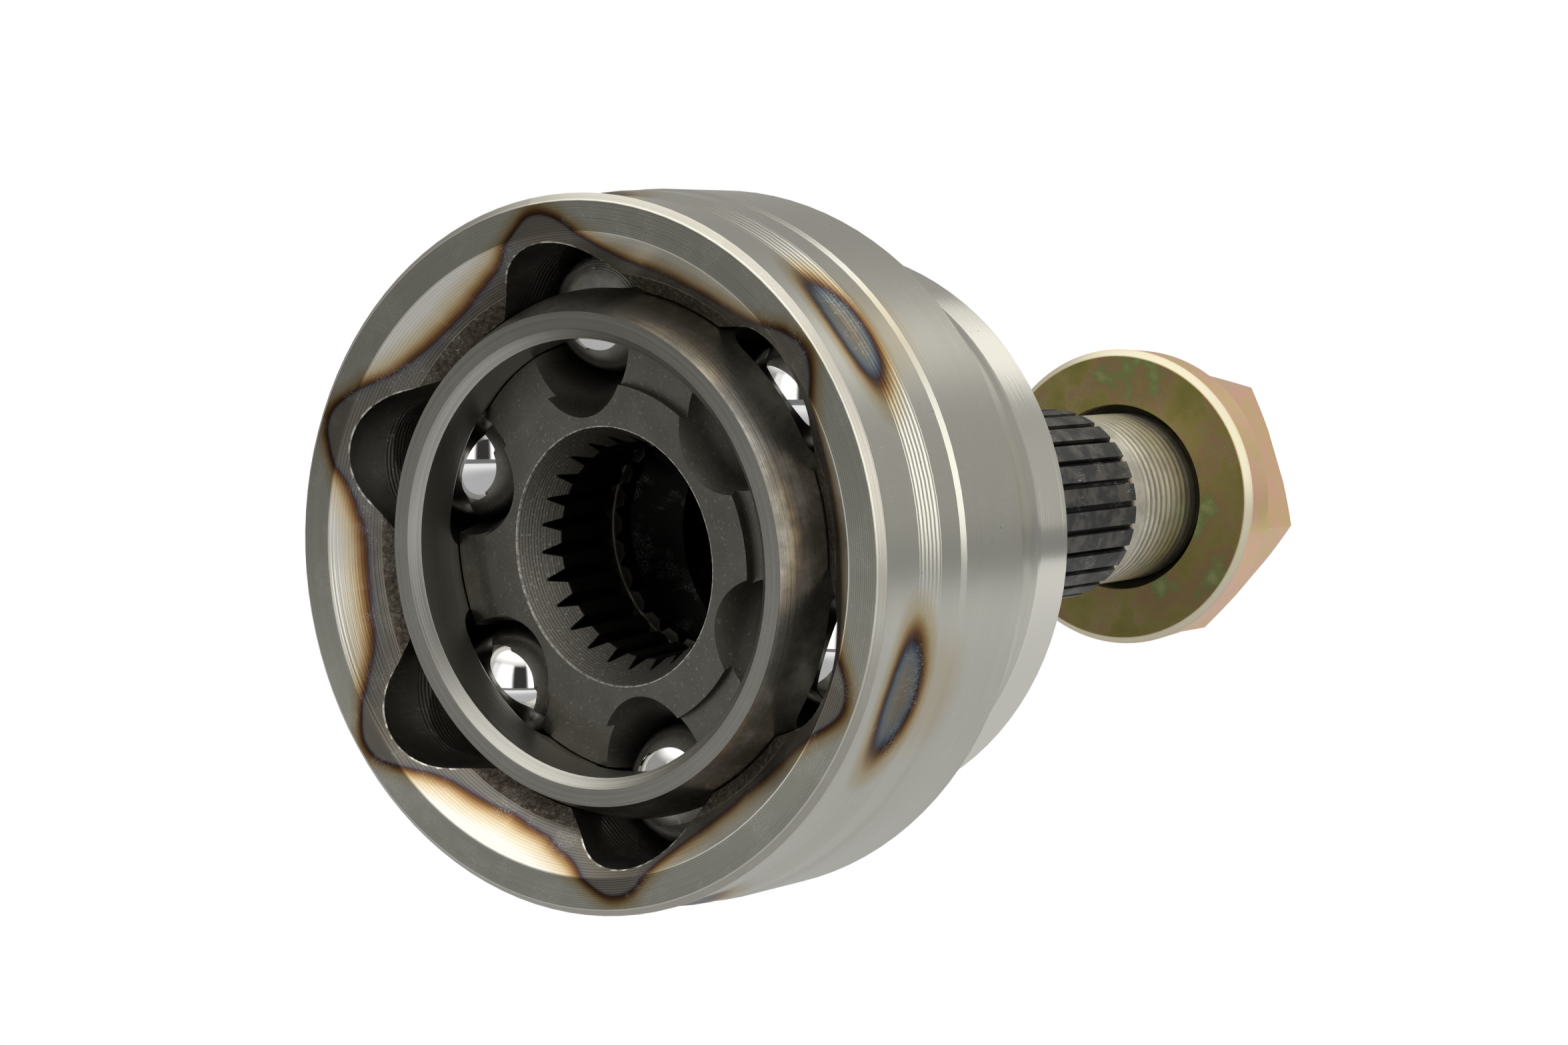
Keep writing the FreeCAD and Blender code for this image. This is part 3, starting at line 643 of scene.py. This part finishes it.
def lay_floor():
    """White floor under the bell, whose reflection fades close to the part as a painted
    shadow.
    """
    bpy.ops.object.select_all(action="DESELECT")
    bpy.ops.mesh.primitive_plane_add(size=6, location=(0, 0, CAD_LOW.z - 0.0001))
    floor = bpy.context.object
    floor.name = "floor"
    material = bpy.data.materials.new("pale_floor")
    material.use_nodes = True
    graph = Graph(material.node_tree)
    graph.nodes.clear()
    output = graph.add("ShaderNodeOutputMaterial")
    ray = graph.add("ShaderNodeLightPath").outputs
    seen = graph.calc("MAXIMUM", ray["Is Camera Ray"], graph.calc(
        "MAXIMUM", ray["Is Glossy Ray"], ray["Is Transmission Ray"]))

    # level by distance from the part: a painted shadow near it, brighter in front than behind
    # as a painted pool of light, and dim far out
    near_start, near_end, painted_shadow_level = 0.07, 0.20, 0.50
    out_start, out_end, out_level = 0.30, 0.36, 0.2
    place = graph.add("ShaderNodeTexCoord").outputs["Object"]
    across = graph.add("ShaderNodeSeparateXYZ", {"Vector": place}).outputs["X"]
    distance = graph.add("ShaderNodeVectorMath", operation="LENGTH")
    graph.feed(distance.inputs[0], place)
    distance = distance.outputs["Value"]
    lit_level = graph.step(across, -0.10, -0.02, 0.95, 0.60)
    level = graph.step(distance, near_start, near_end, painted_shadow_level, lit_level)
    level = graph.blend(graph.step(distance, out_start, out_end), level, out_level)
    level = graph.calc("MAXIMUM", level, ray["Is Camera Ray"])

    matt = graph.add("ShaderNodeBsdfDiffuse", {"Color": (0.8, 0.8, 0.8, 1)})
    white = graph.add("ShaderNodeEmission", {"Color": (1, 1, 1, 1), "Strength": level})
    both = graph.add("ShaderNodeMixShader")
    for socket, value in zip(both.inputs, (seen, matt.outputs[0], white.outputs[0])):
        graph.feed(socket, value)
    graph.feed(output.inputs["Surface"], both.outputs[0])
    floor.data.materials.append(material)


# Soft panels of the tent: level, start and end of turn, low and high of lift, softness of
# the edges. Turns and lifts are in degrees, softness in radians. Turn 0 is along the stub.
PANELS = (
    (1.0, 186, 209, -30, 40, 0.06),
    (1.6, 52, 131, -12, 50, 0.07),
    (1.4, 161, 192, -12, 42, 0.08),
    (0.04, 133, 159, -16, 40, 0.06),
    (0.36, -58, 45, -12, 22, 0.08),
    (0.30, -50, -2, 20, 60, 0.1),
    (0.9, 7, 30, 26, 48, 0.08),
)
WALL_LEVEL, CEILING_LEVEL = 0.34, 1.45


def light_tent():
    """White tent: pale walls, a bright ceiling, soft panels and a dark gap in front."""
    world = bpy.data.worlds.new("studio")
    bpy.context.scene.world = world
    world.use_nodes = True
    graph = Graph(world.node_tree)
    graph.nodes.clear()
    output = graph.add("ShaderNodeOutputWorld")
    direction = graph.add("ShaderNodeTexCoord").outputs["Generated"]
    x, y, z = graph.add("ShaderNodeSeparateXYZ", {"Vector": direction}).outputs
    lift = graph.calc("ARCTAN2", z, graph.length(x, y))
    turn = graph.calc("ARCTAN2", graph.times(y, -1.0), x)
    full_turn = graph.calc("FLOORED_MODULO", turn, 2 * math.pi)

    light = graph.blend(graph.step(z, 0.55, 0.85), WALL_LEVEL, CEILING_LEVEL)
    for level, start, end, low, high, soft in PANELS:
        around = turn if end <= 180 else full_turn
        mask = graph.times(
            graph.band(around, math.radians(start), math.radians(end), soft),
            graph.band(lift, math.radians(low), math.radians(high), soft))
        light = graph.blend(mask, light, level)

    tinted = graph.add("ShaderNodeBackground", {
        "Color": (1.0, 0.985, 0.95, 1), "Strength": light})
    plain = graph.add("ShaderNodeBackground", {"Color": (1, 1, 1, 1), "Strength": 1.0})
    path = graph.add("ShaderNodeLightPath")
    mixed = graph.add("ShaderNodeMixShader")
    for socket, value in zip(mixed.inputs, (path.outputs["Is Camera Ray"], tinted.outputs[0],
                                            plain.outputs[0])):
        graph.feed(socket, value)
    graph.feed(output.inputs["Surface"], mixed.outputs[0])


place_camera()
lay_floor()
light_tent()
bpy.context.scene.view_settings.view_transform = "Standard"
